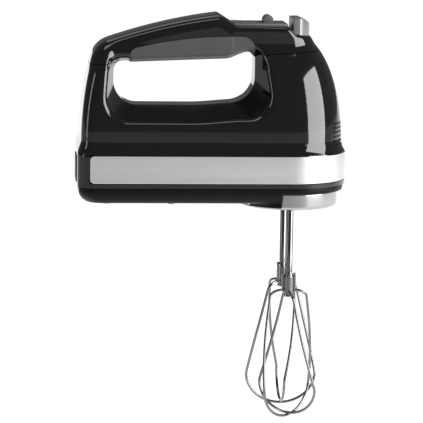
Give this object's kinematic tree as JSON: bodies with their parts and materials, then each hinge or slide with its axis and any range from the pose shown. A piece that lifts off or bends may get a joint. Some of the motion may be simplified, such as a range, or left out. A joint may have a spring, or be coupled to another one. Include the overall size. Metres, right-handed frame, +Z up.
{
  "type": "hand mixer",
  "caption": "Corded electric hand mixer: two-shell body with a looped grip handle, steel band, sprung ejector and a pair of detachable wire beaters.",
  "frame": {"origin": "middle of the handle's grip, on the mid-plane, 15 mm above the finger opening's top edge", "axes": "+X towards the nose and the beaters, +Z up from the beaters to the handle, +Y to the side that the cord outlet is on"},
  "size_m": [0.2037, 0.0918, 0.3049],
  "materials": {
    "black_gloss": "deep black, polished moulding",
    "black_satin": "black, fine satin moulding",
    "brushed": "brushed lengthwise, polished edges",
    "polished": "polished and lacquered",
    "grip_rubber": "soft satin grip",
    "panel_grey": "metallic grey paint",
    "window": "smoked clear window",
    "key_grey": "metallic grey",
    "satin_silver": "satin silver",
    "natural_plastic": "natural acetal",
    "spring_steel": "ground steel",
    "chromed": "bright chrome plate",
    "cast_grey": "as cast",
    "bronze": "sintered bronze",
    "copper": "enamelled copper",
    "laminations": "stacked sheet",
    "board_green": "solder mask",
    "carbon": "pressed carbon"
  },
  "bodies": {
    "housing": {"main_housing": "black_gloss", "handle_cover": "black_gloss", "lower_housing": "black_satin", "trim_band": "brushed", "nose_collar": "polished", "handle_carrier": "black_satin", "soft_grip": "grip_rubber", "control_panel": "panel_grey", "speed_window": "window", "power_switch_body": "black_satin", "circuit_board": "board_green", "eject_spring": "spring_steel", "gearbox_housing": "cast_grey", "gearbox_cover": "cast_grey", "spindle_bushes": "bronze", "stator_core": "laminations", "field_coils": "copper", "motor_front_bracket": "cast_grey", "motor_rear_bracket": "black_satin", "motor_bearings": "spring_steel", "brushes": "carbon", "brush_holders": "bronze", "brush_springs": "spring_steel", "heel_pad": "grip_rubber", "housing_screws": "spring_steel", "gearbox_screws": "spring_steel"},
    "rotor": {"motor_shaft": "spring_steel", "worm": "spring_steel", "armature_core": "laminations", "armature_windings": "copper", "commutator": "copper", "cooling_fan": "natural_plastic"},
    "spindle_left": {"spindle_left": "spring_steel", "worm_wheel_left": "natural_plastic"},
    "spindle_right": {"spindle_right": "spring_steel", "worm_wheel_right": "natural_plastic"},
    "ejector": {"eject_button": "satin_silver", "eject_yoke": "natural_plastic"},
    "pin_left": {"push_pin_left": "spring_steel"},
    "pin_right": {"push_pin_right": "spring_steel"},
    "beater_left": {"beater_shaft_left": "chromed", "beater_collar_left": "chromed", "beater_loop_a_left": "chromed", "beater_loop_b_left": "chromed"},
    "beater_right": {"beater_shaft_right": "chromed", "beater_collar_right": "chromed", "beater_loop_a_right": "chromed", "beater_loop_b_right": "chromed"},
    "power_slide": {"power_switch_knob": "key_grey"},
    "speed_up": {"speed_up_button": "key_grey"},
    "speed_down": {"speed_down_button": "key_grey"},
    "cord_outlet": {"cord_swivel": "black_satin"}
  },
  "joints": [
    {"name": "rotor_spin", "type": "hinge", "parent": "housing", "child": "rotor", "pos_m": [0.08035, 0, -0.088], "axis": [1, 0, 0], "continuous": true},
    {"name": "spindle_left_spin", "type": "hinge", "parent": "housing", "child": "spindle_left", "pos_m": [0.08035, 0.021, -0.088], "axis": [0, 0, 1], "continuous": true},
    {"name": "spindle_right_spin", "type": "hinge", "parent": "housing", "child": "spindle_right", "pos_m": [0.08035, -0.021, -0.088], "axis": [0, 0, 1], "continuous": true},
    {"name": "eject_press", "type": "slide", "parent": "housing", "child": "ejector", "axis": [0, 0, -1], "range_m": [0, 0.006], "stiffness_N_per_m": 900, "springref_m": -0.006, "deforming": ["eject_spring"]},
    {"name": "pin_left_slide", "type": "slide", "parent": "spindle_left", "child": "pin_left", "axis": [0, 0, -1], "range_m": [0, 0.006]},
    {"name": "pin_right_slide", "type": "slide", "parent": "spindle_right", "child": "pin_right", "axis": [0, 0, -1], "range_m": [0, 0.006]},
    {"name": "beater_left_pull", "type": "slide", "parent": "pin_left", "child": "beater_left", "axis": [0, 0, -1], "range_m": [0, 0.044]},
    {"name": "beater_right_pull", "type": "slide", "parent": "pin_right", "child": "beater_right", "axis": [0, 0, -1], "range_m": [0, 0.044]},
    {"name": "power_switch_slide", "type": "slide", "parent": "housing", "child": "power_slide", "axis": [1, 0, 0], "range_m": [0, 0.004]},
    {"name": "speed_up_press", "type": "slide", "parent": "housing", "child": "speed_up", "axis": [0, 0, -1], "range_m": [0, 0.0008], "stiffness_N_per_m": 1500, "springref_m": -0.0008},
    {"name": "speed_down_press", "type": "slide", "parent": "housing", "child": "speed_down", "axis": [0, 0, -1], "range_m": [0, 0.0008], "stiffness_N_per_m": 1500, "springref_m": -0.0008},
    {"name": "cord_swivel_turn", "type": "hinge", "parent": "housing", "child": "cord_outlet", "pos_m": [-0.05265, 0.026, -0.112], "axis": [0, 0, 1], "range_deg": [-40, 40]}
  ],
  "couplings": [
    {"joint": "spindle_left_spin", "follows": "rotor_spin", "ratio": -0.071429},
    {"joint": "spindle_right_spin", "follows": "rotor_spin", "ratio": 0.071429},
    {"joint": "pin_left_slide", "follows": "eject_press", "ratio": 1},
    {"joint": "pin_right_slide", "follows": "eject_press", "ratio": 1}
  ]
}
